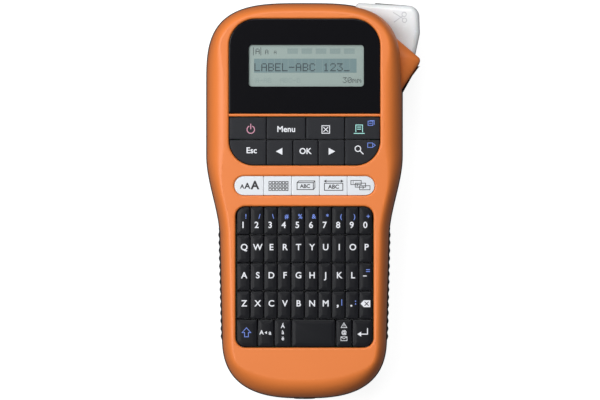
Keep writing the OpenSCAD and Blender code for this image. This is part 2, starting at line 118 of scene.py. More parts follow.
def material(name, colour, rough, metal=0.0, bump=0.0, grain=900.0, mottle=0.04,
             coat=0.0, spec=0.5, rough_spread=0.06, sheen=0.0, subsurface=0.0, glow=0.0):
    """A moulded or metal surface: fine grain in the bump, slight mottle in colour and roughness."""
    mat = bpy.data.materials.new(name)
    mat.use_nodes = True
    tree = mat.node_tree
    add, link = tree.nodes.new, tree.links.new
    shader = tree.nodes["Principled BSDF"]
    for socket, value in (("Metallic", metal), ("Coat Weight", coat), ("Coat Roughness", 0.08),
                          ("Specular IOR Level", spec), ("Emission Strength", glow),
                          ("Sheen Weight", sheen)):
        shader.inputs[socket].default_value = value
    if subsurface:
        shader.inputs["Subsurface Weight"].default_value = subsurface
        shader.inputs["Subsurface Scale"].default_value = 0.002
        shader.inputs["Subsurface Radius"].default_value = (1.0, 0.45, 0.2)
    place = add("ShaderNodeTexCoord")
    broad = add("ShaderNodeTexNoise")
    broad.inputs["Scale"].default_value = 38
    broad.inputs["Detail"].default_value = 5
    link(place.outputs["Object"], broad.inputs["Vector"])
    tint = add("ShaderNodeMix")
    tint.data_type = "RGBA"
    tint.inputs["A"].default_value = (*[max(c * (1 - mottle), 0) for c in colour], 1)
    tint.inputs["B"].default_value = (*[min(c * (1 + mottle), 1) for c in colour], 1)
    link(broad.outputs["Fac"], tint.inputs["Factor"])
    link(tint.outputs["Result"], shader.inputs["Base Color"])
    span = add("ShaderNodeMapRange")
    span.inputs["To Min"].default_value = max(rough - rough_spread, 0.02)
    span.inputs["To Max"].default_value = min(rough + rough_spread, 1)
    fine = add("ShaderNodeTexNoise")
    fine.inputs["Scale"].default_value = grain
    fine.inputs["Detail"].default_value = 3
    link(place.outputs["Object"], fine.inputs["Vector"])
    link(fine.outputs["Fac"], span.inputs["Value"])
    link(span.outputs["Result"], shader.inputs["Roughness"])
    if bump:
        relief = add("ShaderNodeBump")
        relief.inputs["Strength"].default_value = bump
        relief.inputs["Distance"].default_value = 0.0001
        link(fine.outputs["Fac"], relief.inputs["Height"])
        link(relief.outputs["Normal"], shader.inputs["Normal"])
    return mat


ORANGE = material("orange_case", (0.80, 0.215, 0.045), rough=0.42, spec=0.4, bump=0.25, grain=1500,
                  mottle=0.03)
CHARCOAL = material("charcoal_case", (0.018, 0.018, 0.021), rough=0.6, bump=0.7, grain=1400, mottle=0.12)
RUBBER = material("grip_rubber", (0.012, 0.012, 0.013), rough=0.78, bump=0.5, grain=2200, mottle=0.2)
WINDOW = material("window_black", (0.005, 0.005, 0.0065), rough=0.12, rough_spread=0.02, spec=0.2,
                  mottle=0.1, grain=300)
WHITE = material("white_gloss", (0.88, 0.905, 0.92), rough=0.26, bump=0.05, grain=700, mottle=0.02,
                 coat=0.3, subsurface=0.04)
STRIP = material("strip_white", (0.74, 0.77, 0.81), rough=0.35, bump=0.1, grain=1200, mottle=0.02)
KEY = material("key_black", (0.009, 0.0095, 0.012), rough=0.34, spec=0.16, bump=0.25, grain=1600, mottle=0.1)
NAV = material("menu_key_grey", (0.021, 0.022, 0.026), rough=0.42, spec=0.14, bump=0.3, grain=1600,
               mottle=0.08)
INK = material("legend_white", (0.80, 0.82, 0.87), rough=0.5, mottle=0.02)
BLUE = material("legend_blue", (0.16, 0.26, 0.76), rough=0.5, mottle=0.03)
PINK = material("legend_pink", (0.66, 0.30, 0.41), rough=0.5, mottle=0.03)
MINT = material("legend_mint", (0.40, 0.85, 0.79), rough=0.5, mottle=0.03)
GREY_INK = material("legend_dark", (0.015, 0.015, 0.02), rough=0.5, mottle=0.05)
# Painted shade: the raised scissors are the lever's own white, tinted darker grey to stand in for the shade
# of the relief.
RELIEF_PAINTED_SHADE = material("emboss_painted_shade", (0.60, 0.62, 0.65), rough=0.3, mottle=0.02)
LCD = material("lcd_face", (0.43, 0.53, 0.50), rough=0.3, bump=0.05, grain=2500, mottle=0.03)
LCD_BAND = material("lcd_cells", (0.235, 0.35, 0.365), rough=0.3, mottle=0.03)
LCD_FAINT = material("lcd_faint", (0.33, 0.43, 0.42), rough=0.3, mottle=0.03)
LCD_DOT = material("lcd_dots", (0.035, 0.05, 0.06), rough=0.3, mottle=0.05)
BOARD = material("board_green", (0.02, 0.13, 0.06), rough=0.35, bump=0.3, grain=500, mottle=0.2)
SILICONE = material("silicone", (0.30, 0.31, 0.32), rough=0.6, bump=0.3, grain=900, sheen=0.2)
STEEL = material("blade_steel", (0.62, 0.63, 0.65), rough=0.28, metal=1, bump=0.15, grain=1800)
ALUMINIUM = material("heat_sink", (0.60, 0.62, 0.64), rough=0.4, metal=1, bump=0.2, grain=900)
CERAMIC = material("ceramic", (0.66, 0.62, 0.54), rough=0.2, mottle=0.05)
ROLLER = material("roller_rubber", (0.02, 0.02, 0.021), rough=0.7, bump=0.5, grain=2500)
NYLON = material("dark_nylon", (0.022, 0.022, 0.025), rough=0.45, bump=0.2, grain=900, mottle=0.1)
ACETAL = material("gear_acetal", (0.70, 0.71, 0.72), rough=0.4, bump=0.1, grain=900, subsurface=0.1)
BRASS = material("pinion_brass", (0.66, 0.47, 0.18), rough=0.3, metal=1, bump=0.1, grain=1500)
FLOOR = material("floor_pale", (0.3, 0.3, 0.3), rough=0.9, mottle=0.005, spec=0.1, glow=0.9)

SLOT_LOOKS = {
    "orange_plastic": ORANGE, "charcoal_plastic": CHARCOAL, "grip_rubber": RUBBER,
    "window_acrylic": WINDOW, "lcd_glass": LCD, "white_plastic": WHITE, "circuit_board": BOARD,
    "silicone": SILICONE, "key_plastic": KEY, "blade_steel": STEEL, "ceramic": CERAMIC,
    "heat_sink": ALUMINIUM, "roller_rubber": ROLLER, "dark_nylon": NYLON,
    "gear_nylon": ACETAL, "brass": BRASS,
}


def clear_pane():
    """A thin clear pane: mostly see-through, with a glossy reflection that grows at a slant."""
    mat = bpy.data.materials.new("clear_pane")
    mat.use_nodes = True
    tree = mat.node_tree
    tree.nodes.clear()
    add, link = tree.nodes.new, tree.links.new
    out = add("ShaderNodeOutputMaterial")
    mix = add("ShaderNodeMixShader")
    gloss = add("ShaderNodeBsdfGlossy")
    gloss.inputs["Roughness"].default_value = 0.04
    through = add("ShaderNodeBsdfTransparent")
    fresnel = add("ShaderNodeFresnel")
    fresnel.inputs["IOR"].default_value = 1.45
    link(fresnel.outputs["Fac"], mix.inputs["Fac"])
    link(through.outputs["BSDF"], mix.inputs[1])
    link(gloss.outputs["BSDF"], mix.inputs[2])
    link(mix.outputs["Shader"], out.inputs["Surface"])
    return mat


def paint_cad_nodes():
    slots = {p["node"]: p["material_slot"] for p in frame["record"]["subparts"]}
    for name, obj in frame["nodes"].items():
        obj.data.materials.clear()
        obj.data.materials.append(SLOT_LOOKS[slots[name]])


# ---------------- mesh helpers

def make_piece(name, solid, mat, body="root", smooth=True, skin=False):
    """A mesh piece in millimetres, turned to metres, that rides on a body. A skin isn't closed yet."""
    mesh = bpy.data.meshes.new(name)
    mesh.from_pydata([tuple(c * MM for c in v) for v in solid.verts], [], solid.faces)
    mesh.validate()
    mesh.materials.append(mat)
    if not skin:
        work = bmesh.new()
        work.from_mesh(mesh)
        bmesh.ops.recalc_face_normals(work, faces=work.faces)
        work.to_mesh(mesh)
        work.free()
    if smooth:
        mesh.polygons.foreach_set("use_smooth", [True] * len(mesh.polygons))
    mesh.update()
    obj = bpy.data.objects.new(name, mesh)
    put_in_scene(obj)
    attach(obj, body)
    return obj


def evaluated_mesh(obj):
    graph = bpy.context.evaluated_depsgraph_get()
    return bpy.data.meshes.new_from_object(obj.evaluated_get(graph))


def modifier(obj, kind, **values):
    """Adds a modifier and applies it at once."""
    mod = obj.modifiers.new(kind.lower(), kind)
    for key, value in values.items():
        setattr(mod, key, value)
    mesh = evaluated_mesh(obj)
    old = obj.data
    obj.modifiers.clear()
    obj.data = mesh
    bpy.data.meshes.remove(old)


def thicken(obj, wall):
    """Gives a skin its wall, on the inside."""
    modifier(obj, "SOLIDIFY", thickness=wall * MM, offset=-1, use_even_offset=False)


def sharpen(obj, degrees):
    """Smooth shading, but hard where faces meet at more than the given angle."""
    mesh = obj.data
    mesh.polygons.foreach_set("use_smooth", [True] * len(mesh.polygons))
    mesh.set_sharp_from_angle(angle=math.radians(degrees))


class Solid:
    """Collects rings of points and the faces between them."""

    def __init__(self):
        self.verts = []
        self.faces = []

    def ring(self, points):
        start = len(self.verts)
        self.verts.extend(points)
        return list(range(start, start + len(points)))

    def band(self, low, high, closed=True, flip=False, skip=()):
        n = len(low)
        for i in range(n if closed else n - 1):
            if i in skip:
                continue
            j = (i + 1) % n
            face = (low[i], low[j], high[j], high[i])
            self.faces.append(face[::-1] if flip else face)

    def stack(self, rings, closed=True, flip=False):
        ids = [self.ring(r) for r in rings]
        for low, high in zip(ids, ids[1:]):
            self.band(low, high, closed, flip)
        return ids

    def cap(self, ids, flip=False):
        self.faces.append(tuple(ids[::-1] if flip else ids))

    def box(self, x, y, z):
        ids = self.ring([(x[i], y[j], z[k]) for k in (0, 1) for j in (0, 1) for i in (0, 1)])
        for q in ((0, 2, 3, 1), (4, 5, 7, 6), (0, 1, 5, 4), (1, 3, 7, 5), (3, 2, 6, 7), (2, 0, 4, 6)):
            self.faces.append(tuple(ids[c] for c in q))


def rounded(x, y, radii, shrink, steps, z):
    """Rectangle with its own radius at each corner: low left, low right, top right, top left."""
    x0, x1 = x[0] + shrink, x[1] - shrink
    y0, y1 = y[0] + shrink, y[1] - shrink
    corners = ((x0, y0, 180), (x1, y0, 270), (x1, y1, 0), (x0, y1, 90))
    points = []
    for (cx, cy, start), radius in zip(corners, radii):
        r = min(max(radius - shrink, 0.06), 0.97 * min(x1 - x0, y1 - y0) - 0.12)
        ox = cx + r if cx == x0 else cx - r
        oy = cy + r if cy == y0 else cy - r
        for i in range(steps + 1):
            a = math.radians(start + 90 * i / steps)
            points.append((ox + r * math.cos(a), oy + r * math.sin(a), z))
    return points


# ---------------- outline of the case, in mm

HALF_LEN = 104.5
HEAD_HALF, HEAD_Y, HEAD_N = 52.0, 60.0, 3.35
GRIP_HALF, GRIP_Y, GRIP_N = 43.7, -70.0, 2.7
WAIST_TOP, WAIST_LOW, WAIST_HALF = 24.0, -20.0, 44.9
TOP_Z = 58.0
PARTING = 30.0
COVER_TOP = 15.9
REAR_LOW = 16.2
ARCH = (-92.0, -74.0, -36.0, -10.0)
ARCH_RISE = 12.0
WALL = 2.2


def smooth(t):
    t = min(max(t, 0.0), 1.0)
    return t * t * (3 - 2 * t)


def ramp(y, start, end):
    """Rises smoothly from 0 at start to 1 at end."""
    return smooth((y - start) / (end - start))


def side(y):
    """Half the width of the case between the two rounded ends."""
    if y > WAIST_LOW:
        return WAIST_HALF + (HEAD_HALF - WAIST_HALF) * ramp(y, WAIST_LOW, WAIST_TOP)
    return GRIP_HALF + (WAIST_HALF - GRIP_HALF) * (y - GRIP_Y) / (WAIST_LOW - GRIP_Y)


def outline_base():
    """Points round the case, from the middle of the low end, up the right side and back."""
    cap_steps, side_steps, crowding = 44, 76, 1.35
    half = []
    for i in range(cap_steps + 1):
        a = math.pi / 2 * (i / cap_steps) ** crowding
        half.append((GRIP_HALF * math.sin(a) ** (2 / GRIP_N),
                     GRIP_Y - (HALF_LEN + GRIP_Y) * math.cos(a) ** (2 / GRIP_N)))
    for i in range(1, side_steps):
        y = GRIP_Y + (HEAD_Y - GRIP_Y) * i / side_steps
        half.append((side(y), y))
    for i in range(cap_steps + 1):
        a = math.pi / 2 * (1 - (1 - i / cap_steps) ** crowding)
        half.append((HEAD_HALF * max(math.cos(a), 0) ** (2 / HEAD_N),
                     HEAD_Y + (HALF_LEN - HEAD_Y) * math.sin(a) ** (2 / HEAD_N)))
    half[0] = (0.0, -HALF_LEN)
    half[-1] = (0.0, HALF_LEN)
    return half + [(-x, y) for x, y in half[-2:0:-1]]


BASE = outline_base()


def outward(points):
    """The outward direction at each point of a closed outline."""
    n = len(points)
    out = []
    for i in range(n):
        ax, ay = points[i - 1]
        bx, by = points[(i + 1) % n]
        tx, ty = bx - ax, by - ay
        size = math.hypot(tx, ty)
        out.append((ty / size, -tx / size))
    return out


BASE_OUT = outward(BASE)
MIDDLES = [((ax + bx) / 2, (ay + by) / 2) for (ax, ay), (bx, by) in zip(BASE, BASE[1:] + BASE[:1])]


def inset(d):
    """The case's outline, moved inward by d."""
    return [(x - d * nx, y - d * ny) for (x, y), (nx, ny) in zip(BASE, BASE_OUT)]


def stretches(test):
    """The stretches of the outline whose middle passes the test."""
    return {i for i, (x, y) in enumerate(MIDDLES) if test(x, y)}


def fill_flat(solid, outer, holes, z):
    """Fills the flat ring between an outer loop of ids and hole loops of ids with triangles."""
    bm = bmesh.new()
    back = {}
    edges = []
    for loop in [outer, *holes]:
        own = [bm.verts.new((solid.verts[i][0], solid.verts[i][1], z)) for i in loop]
        for v, i in zip(own, loop):
            back[v] = i
        edges += [bm.edges.new((own[k], own[(k + 1) % len(own)])) for k in range(len(own))]
    made = bmesh.ops.triangle_fill(bm, use_beauty=True, use_dissolve=False, edges=edges,
                                   normal=(0, 0, 1))
    for face in made["geom"]:
        if isinstance(face, bmesh.types.BMFace):
            ids = [back[v] for v in face.verts]
            (ax, ay, _), (bx, by, _), (cx, cy, _) = (solid.verts[i] for i in ids)
            area = (bx - ax) * (cy - ay) - (by - ay) * (cx - ax)
            solid.faces.append(tuple(ids if area > 0 else ids[::-1]))
    bm.free()


# ---------------- front case

FRONT_STEP, DRAFT = 0.5, 0.7
EDGE_H = 14.0
EDGE_IN, EDGE_HEAD, EDGE_LOW = 5.2, 3.8, 5.0   # beside the letters, added at the head and the low end
HEAD_START, HEAD_END, LOW_END = (0, 30), (64, 88), (-104, -84)
WINDOW_X = 39.6
WINDOW_Y = (45.6, 95.2)
NAV_Y = (18.4, 43.9)
STRIP_X, STRIP_Y = 36.7, (2.8, 12.9)
LETTER_X, LETTER_Y = 36.1, (-76.8, -2.9)
NAV_R, WINDOW_R, STRIP_R, LETTER_R = 13.0, 14.4, 5.04, 5.2
HOOD_Z = (38.4, 43.0)
ROOM_A, ROOM_B = (25.2, 84.0), (42.0, 71.0)    # ends of the inner edge of the lever's room
JACK_R, JACK_Y = 5.6, -100.0
RIM = 1.1                    # rounding of the rim of each opening
WELL = 3.4                   # depth of each opening's wall
SHELL_T = 2.0


def in_lever_room(x, y):
    """Where the corner of the case is open below the hood, so that the lever can swing."""
    (ax, ay), (bx, by) = ROOM_A, ROOM_B
    return x > ax and y > by and (x - ax) * (ay - by) + (y - ay) * (bx - ax) > 0


def over_jack(x, y):
    """Where the end wall is cut away round the adaptor socket."""
    return abs(x) < JACK_R and y < JACK_Y


def edge_in(y):
    """How far in the rounded edge of the front face reaches: least beside the letter keys."""
    head = EDGE_HEAD * ramp(y, *HEAD_START) * (1 - ramp(y, *HEAD_END))
    return EDGE_IN + head + EDGE_LOW * (1 - ramp(y, *LOW_END))


def edge_ring(a):
    """One ring of the front surface, at the angle a round its rounded edge."""
    ring = []
    for (x, y), (nx, ny) in zip(BASE, BASE_OUT):
        d = FRONT_STEP + DRAFT + edge_in(y) * (1 - math.cos(a))
        ring.append((x - d * nx, y - d * ny, TOP_Z - EDGE_H + EDGE_H * math.sin(a)))
    return ring


def front_shell():
    """The orange case: sides with draft, a rounded edge, and a flat face with three openings."""
    solid = Solid()
    turns = 20
    rings = [[(x, y, z) for x, y in inset(d)]
             for d, z in ((FRONT_STEP, PARTING), (FRONT_STEP + DRAFT * 0.6, HOOD_Z[0]))]
    rings += [edge_ring(math.pi / 2 * i / turns) for i in range(turns + 1)]
    rings = [solid.ring(r) for r in rings]
    gaps = stretches(lambda x, y: in_lever_room(x, y) or over_jack(x, y))
    for k, (low, high) in enumerate(zip(rings, rings[1:])):
        solid.band(low, high, skip=gaps if k == 0 else ())
    holes = []
    for x, y, radii, steps in (
        ((-WINDOW_X, WINDOW_X), (NAV_Y[0], WINDOW_Y[1]), (NAV_R, NAV_R, WINDOW_R, WINDOW_R), 14),
        ((-STRIP_X, STRIP_X), STRIP_Y, (STRIP_R,) * 4, 10),
        ((-LETTER_X, LETTER_X), LETTER_Y, (LETTER_R,) * 4, 10),
    ):
        loops = []
        for a in range(0, 91, 18):
            t = math.radians(a)
            grow = RIM * (1 - math.sin(t))
            drop = RIM * (1 - math.cos(t))
            loops.append(solid.ring(rounded(x, y, radii, -grow, steps, TOP_Z - drop)))
        loops.append(solid.ring(rounded(x, y, radii, 0, steps, TOP_Z - WELL)))
        for high, low in zip(loops, loops[1:]):
            solid.band(high, low)
        holes.append(loops[0])
    fill_flat(solid, rings[-1], holes, TOP_Z)
    shell = make_piece("front_shell", solid, ORANGE, skin=True)
    thicken(shell, SHELL_T)
    sharpen(shell, 32)
    modifier(shell, "WEIGHTED_NORMAL", keep_sharp=True, weight=60)
    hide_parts("front_case")


def divider_bar():
    """The thin orange bar between the window and the menu keys."""
    solid = Solid()
    fit, chamfer, depth = 0.15, 0.35, 2.6
    y0, y1 = NAV_Y[1] + fit, WINDOW_Y[0] - fit
    z = TOP_Z - 0.7
    profile = [(y0, z - depth), (y0, z - chamfer), (y0 + chamfer, z),
               (y1 - chamfer, z), (y1, z - chamfer), (y1, z - depth)]
    ends = [solid.ring([(x, y, h) for y, h in profile]) for x in (-WINDOW_X, 0, WINDOW_X)]
    for a, b in zip(ends, ends[1:]):
        solid.band(a, b, flip=True)
    solid.cap(ends[0])
    solid.cap(ends[-1], flip=True)
    bar = make_piece("window_divider", solid, ORANGE)
    sharpen(bar, 50)


def hull_ring(circles, shrink, z, steps=180, start=0.0, span=360.0):
    """Points round a group of discs, as a taut band round them would lie."""
    points = []
    for i in range(steps if span == 360 else steps + 1):
        a = math.radians(start + span * i / steps)
        nx, ny = math.cos(a), math.sin(a)
        cx, cy, r = max(circles, key=lambda c: c[0] * nx + c[1] * ny + c[2])
        r = max(r - shrink, 0.05)
        points.append((cx + r * nx, cy + r * ny, z))
    return points


WING = ((49, 57, 1), (47, 85.4, 1), (58.6, 73.8, 2.3))
WING_ROOT = (45.0, 76.0)     # the dome of the fin shrinks toward this point
WING_DOME = 0.72             # share of its width that the dome loses at the top
WING_LIP = 0.3
WING_LOW_Y = 70.8            # end of the block below the hood


def wing():
    """The fin beside the tape slot: a hood over the lever's end, and a block below it."""
    solid = Solid()
    rise = HOOD_Z[1] - HOOD_Z[0] - WING_LIP
    root_x, root_y = WING_ROOT
    base = hull_ring(WING, 0, HOOD_Z[0])
    rings = [base]
    for a in range(0, 91, 9):
        t = math.radians(a)
        f = 1 - WING_DOME * (1 - math.cos(t))
        lift = WING_LIP + rise * math.sin(t)
        rings.append([(root_x + f * (x - root_x), root_y + f * (y - root_y), z + lift) for x, y, z in base])
    ids = solid.stack(rings)
    solid.cap(ids[0], flip=True)
    solid.cap(ids[-1])
    low = [(x, min(y, WING_LOW_Y), z) for x, y, z in hull_ring(WING, 0, PARTING)]
    high = [(x, y, HOOD_Z[0]) for x, y, z in low]
    ids = solid.stack([low, high])
    solid.cap(ids[0], flip=True)
    fin = make_piece("side_fin", solid, ORANGE)
    sharpen(fin, 50)


# ---------------- back cover and rear case skin

SLOT_Y = (73.6, 78.1)


def arch(y):
    """Height of the palm arch in the back cover."""
    return ARCH_RISE * ramp(y, ARCH[0], ARCH[1]) * (1 - ramp(y, ARCH[2], ARCH[3]))


def in_tape_slot(x, y):
    """Where the side of the case is open for the tape."""
    return x > 0 and SLOT_Y[0] < y < SLOT_Y[1]


def cover_shell():
    """The back cover, from a profile of insets and shares of its height, closed across the back."""
    solid = Solid()
    profile = [(9, 0), (7, 0.008), (5, 0.05), (3.6, 0.1), (2.2, 0.18), (1.3, 0.29), (0.7, 0.42),
               (0.4, 0.566), (0.2, 0.75), (0.1, 0.96), (0.35, 1)]
    ids = [solid.ring([(x, y, arch(y) + (COVER_TOP - arch(y)) * up) for x, y in inset(d)])
           for d, up in profile]
    slot = stretches(in_tape_slot)
    for (_, up), lower, upper in zip(profile, ids, ids[1:]):
        solid.band(lower, upper, skip=slot if up > 0.5 else ())
    low = ids[0]
    n = len(low)
    for i in range(n // 2):
        a, b, c, d = low[i], low[(i + 1) % n], low[(n - i - 1) % n], low[(n - i) % n]
        face = [a] + ([b] if b != c else []) + [c] + ([d] if d != a else [])
        if len(set(face)) > 2:
            solid.faces.append(tuple(dict.fromkeys(face[::-1])))
    cover = make_piece("cover_shell", solid, CHARCOAL, body="cover", skin=True)
    thicken(cover, WALL)
    sharpen(cover, 40)
    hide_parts("back_cover")


HINGE = (29.0, 95.0)
HINGE_R = 2.0
PLATEN = (42.0, 71.7)
HOLDER_PIN = (37.2, 67.0)
PLATEN_HOLE, SPINDLE_HOLE, PIN_R = 3.4, 2.6, 1.2
SCREWS = ((-30, 96), (-46, 44), (45.2, 50), (-41, 4), (41, 4), (-30, -91), (30, -91))
BAY_X, BAY_Y = (-40.0, 36.0), (30.0, 88.0)
CELL_X, CELL_Y = 33.0, (-64.0, -15.0)
BAY_WALL, BAY_LOW, CELL_LOW = 1.6, 5.0, 16.6
BAY_GAP = (63.0, 85.0)       # where the rollers reach into the cassette bay
BOSS_R, SCREW_R, BOSS_LOW = 3.0, 1.5, 18.0
DECK_Z = (28.2, 29.8)


def circle(cx, cy, r, z):
    steps = 32
    turn = 2 * math.pi / steps
    return [(cx + r * math.cos(turn * i), cy + r * math.sin(turn * i), z) for i in range(steps)]


def tube(solid, cx, cy, r_out, r_in, z0, z1):
    ids = solid.stack([circle(cx, cy, r, z) for r, z in ((r_out, z0), (r_out, z1), (r_in, z1), (r_in, z0))])
    solid.band(ids[-1], ids[0])


def bay_walls(solid, x, y, low_z, gap=None):
    """Four upright walls of a bay, up to the deck. The right-hand one can have a gap."""
    t, z = BAY_WALL, (low_z, DECK_Z[0])
    solid.box((x[0] - t, x[0]), (y[0] - t, y[1] + t), z)
    if gap:
        solid.box((x[1], x[1] + t), (y[0] - t, gap[0]), z)
        solid.box((x[1], x[1] + t), (gap[1], y[1] + t), z)
    else:
        solid.box((x[1], x[1] + t), (y[0] - t, y[1] + t), z)
    solid.box((x[0], x[1]), (y[0] - t, y[0]), z)
    solid.box((x[0], x[1]), (y[1], y[1] + t), z)


def rear_shell():
    """The outer wall of the rear case, with a shadow gap at each joint."""
    wall = Solid()
    profile = [(0.5, REAR_LOW), (0.05, REAR_LOW + 0.45), (0.0, 18), (0.0, 27), (0.0, PARTING - 0.5),
               (0.45, PARTING)]
    ids = [wall.ring([(x, y, z) for x, y in inset(d)]) for d, z in profile]
    slot = stretches(in_tape_slot)
    for (_, z), low, high in zip(profile, ids, ids[1:]):
        wall.band(low, high, skip=slot if z < 27 else ())
    shell = make_piece("rear_shell", wall, CHARCOAL, skin=True)
    thicken(shell, WALL)
    sharpen(shell, 40)
    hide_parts("rear_case")


def rear_deck():
    """The deck inside the rear case, with the shafts' holes, the bays' walls and the screw bosses."""
    deck = Solid()
    low_corner, high_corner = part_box("ribbon_spindle")
    spindle = ((low_corner.x + high_corner.x) / 2 / MM, (low_corner.y + high_corner.y) / 2 / MM)
    holes = ((*PLATEN, PLATEN_HOLE), (*spindle, SPINDLE_HOLE), (*HINGE, HINGE_R), (*HOLDER_PIN, PIN_R))
    low, high = (deck.ring([(x, y, z) for x, y in inset(1.9)]) for z in DECK_Z)
    deck.band(low, high)
    low_holes, high_holes = ([deck.ring(circle(x, y, r, z)) for x, y, r in holes] for z in DECK_Z)
    for a, b in zip(low_holes, high_holes):
        deck.band(a, b, flip=True)
    fill_flat(deck, high, high_holes, DECK_Z[1])
    start = len(deck.faces)
    fill_flat(deck, low, low_holes, DECK_Z[0])
    deck.faces[start:] = [f[::-1] for f in deck.faces[start:]]
    bay_walls(deck, BAY_X, BAY_Y, BAY_LOW, BAY_GAP)
    bay_walls(deck, (-CELL_X, CELL_X), CELL_Y, CELL_LOW)
    cells, rib, rib_depth, rib_end = 6, 0.5, 3.2, 6
    for k in range(1, cells):
        x = -CELL_X + 2 * CELL_X * k / cells
        deck.box((x - rib, x + rib), (CELL_Y[0] + rib_end, CELL_Y[1] - rib_end),
                 (DECK_Z[0] - rib_depth, DECK_Z[0]))
    for x, y in SCREWS:
        tube(deck, x, y, BOSS_R, SCREW_R, BOSS_LOW, DECK_Z[0])
    inner = make_piece("rear_deck", deck, CHARCOAL)
    sharpen(inner, 40)


def rear_fin():
    """The charcoal part of the fin, below the orange one."""
    guard = Solid()
    outline = [(51.6, 57.2), (60.6, 72.2), (60.9, 73.2), (60.6, 73.6), (51.9, 73.6)]
    for z0, z1, d in ((8.0, REAR_LOW, 0.6), (REAR_LOW, PARTING - 0.1, -0.1)):
        ids = guard.stack([[(x + (d if i in (0, 4) else 0), y, z) for i, (x, y) in enumerate(outline)]
                           for z in (z0, z1)])
        guard.cap(ids[0], flip=True)
        guard.cap(ids[1])
    fin = make_piece("rear_fin", guard, CHARCOAL)
    modifier(fin, "BEVEL", width=0.35 * MM, segments=3, limit_method="ANGLE")
    sharpen(fin, 40)


def grip(name, node, s):
    """A rubber pad on the flank, with a wavy row of ribs. The sign s is its side."""
    solid = Solid()
    low_y, high_y, steps, levels = -76.0, -14.0, 150, 12
    z0, z1 = REAR_LOW + 0.7, PARTING - 0.5
    ribs, proud, sunk = 15, 0.9, 0.05
    rings = []
    for k in range(levels + 1):
        v = k / levels
        edge = math.sin(math.pi * v) ** 0.35 if 0 < k < levels else 0
        ring = []
        for i in range(steps + 1):
            u = i / steps
            y = low_y + (high_y - low_y) * u
            ends = min(1, math.sin(math.pi * u) * 6) ** 0.5 if 0 < i < steps else 0
            rib = 0.62 + 0.28 * math.cos(2 * math.pi * ribs * u)
            x = side(max(y, GRIP_Y)) + proud * rib * ends * edge - sunk
            if y < GRIP_Y:
                x -= 0.35 * ((GRIP_Y - y) / 6) ** 2
            ring.append((s * x, y, z0 + (z1 - z0) * v))
        rings.append(ring)
    solid.stack(rings, closed=False, flip=s < 0)
    pad = make_piece(name, solid, RUBBER, skin=True)
    thicken(pad, 0.5)
    sharpen(pad, 60)
    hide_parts(node)


# ---------------- display

LCD_X, LCD_Y = (-29.1, 30.95), (59.7, 81.4)
LCD_R = 1.6
LCD_Z = 56.5
LCD_TOP = LCD_Z + 0.03       # level of the lit marks


def display_window():
    """The black window frame with its rounded rim, and the clear pane in it."""
    fit, steps, rim = 0.12, 14, 0.5
    x, y = (-WINDOW_X + fit, WINDOW_X - fit), (WINDOW_Y[0] + fit, WINDOW_Y[1] - fit)
    radii = (1.0, 1.0, WINDOW_R - 0.1, WINDOW_R - 0.1)
    top = TOP_Z - 0.45
    solid = Solid()
    rings = [solid.ring(rounded(x, y, radii, 0, steps, top - 1.2))]
    for a in range(0, 91, 15):
        t = math.radians(a)
        rings.append(solid.ring(rounded(x, y, radii, rim * (1 - math.cos(t)), steps,
                                        top - rim + rim * math.sin(t))))
    for low, high in zip(rings, rings[1:]):
        solid.band(low, high)
    pane = rounded(LCD_X, LCD_Y, (LCD_R,) * 4, 0, steps, top)
    hole = [solid.ring(pane), solid.ring([(px, py, top - 1.0) for px, py, _ in pane])]
    solid.band(hole[0], hole[1])
    fill_flat(solid, rings[-1], [hole[0]], top)
    border = make_piece("window_frame", solid, WINDOW)
    sharpen(border, 40)
    modifier(border, "WEIGHTED_NORMAL", keep_sharp=True, weight=80)
    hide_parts("display_window")
    clear = Solid()
    ids = clear.stack([[(px, py, top - 0.5) for px, py, _ in pane],
                       [(px, py, top - 0.02) for px, py, _ in pane]])
    clear.cap(ids[0], flip=True)
    clear.cap(ids[1])
    make_piece("window_pane", clear, clear_pane(), smooth=False)


GLYPHS = {                   # five columns by seven rows for each character of the sample text
    "A": (" ### ", "#   #", "#   #", "#####", "#   #", "#   #", "#   #"),
    "B": ("#### ", "#   #", "#   #", "#### ", "#   #", "#   #", "#### "),
    "C": (" ### ", "#   #", "#    ", "#    ", "#    ", "#   #", " ### "),
    "D": ("#### ", "#   #", "#   #", "#   #", "#   #", "#   #", "#### "),
    "E": ("#####", "#    ", "#    ", "#### ", "#    ", "#    ", "#####"),
    "L": ("#    ", "#    ", "#    ", "#    ", "#    ", "#    ", "#####"),
    "1": ("  #  ", " ##  ", "  #  ", "  #  ", "  #  ", "  #  ", " ### "),
    "2": (" ### ", "#   #", "    #", "   # ", "  #  ", " #   ", "#####"),
    "3": ("#####", "   # ", "  #  ", "   # ", "    #", "#   #", " ### "),
    "0": (" ### ", "#   #", "#  ##", "# # #", "##  #", "#   #", " ### "),
    "-": ("     ", "     ", "     ", "#####", "     ", "     ", "     "),
    "m": ("     ", "     ", "## # ", "# # #", "# # #", "#   #", "#   #"),
    "_": ("     ", "     ", "     ", "     ", "     ", "     ", "#####"),
    " ": ("     ",) * 7,
}


def flat_box(solid, x0, y0, x1, y1, z):
    solid.cap(solid.ring([(x0, y0, z), (x1, y0, z), (x1, y1, z), (x0, y1, z)]))


def dots(solid, text, x, y, size, z=LCD_TOP, gap=0.1):
    """Draws dot-matrix text: each lit dot is a small flat square."""
    step, rows = 6, 7
    for n, letter in enumerate(text):
        for r, row in enumerate(GLYPHS[letter]):
            for c, dot in enumerate(row):
                if dot == "#":
                    x0 = x + (n * step + c) * size
                    y0 = y + (rows - 1 - r) * size
                    flat_box(solid, x0, y0, x0 + size * (1 - gap), y0 + size * (1 - gap), z)


def lcd_piece(name, solid, mat):
    make_piece(name, solid, mat, smooth=False)


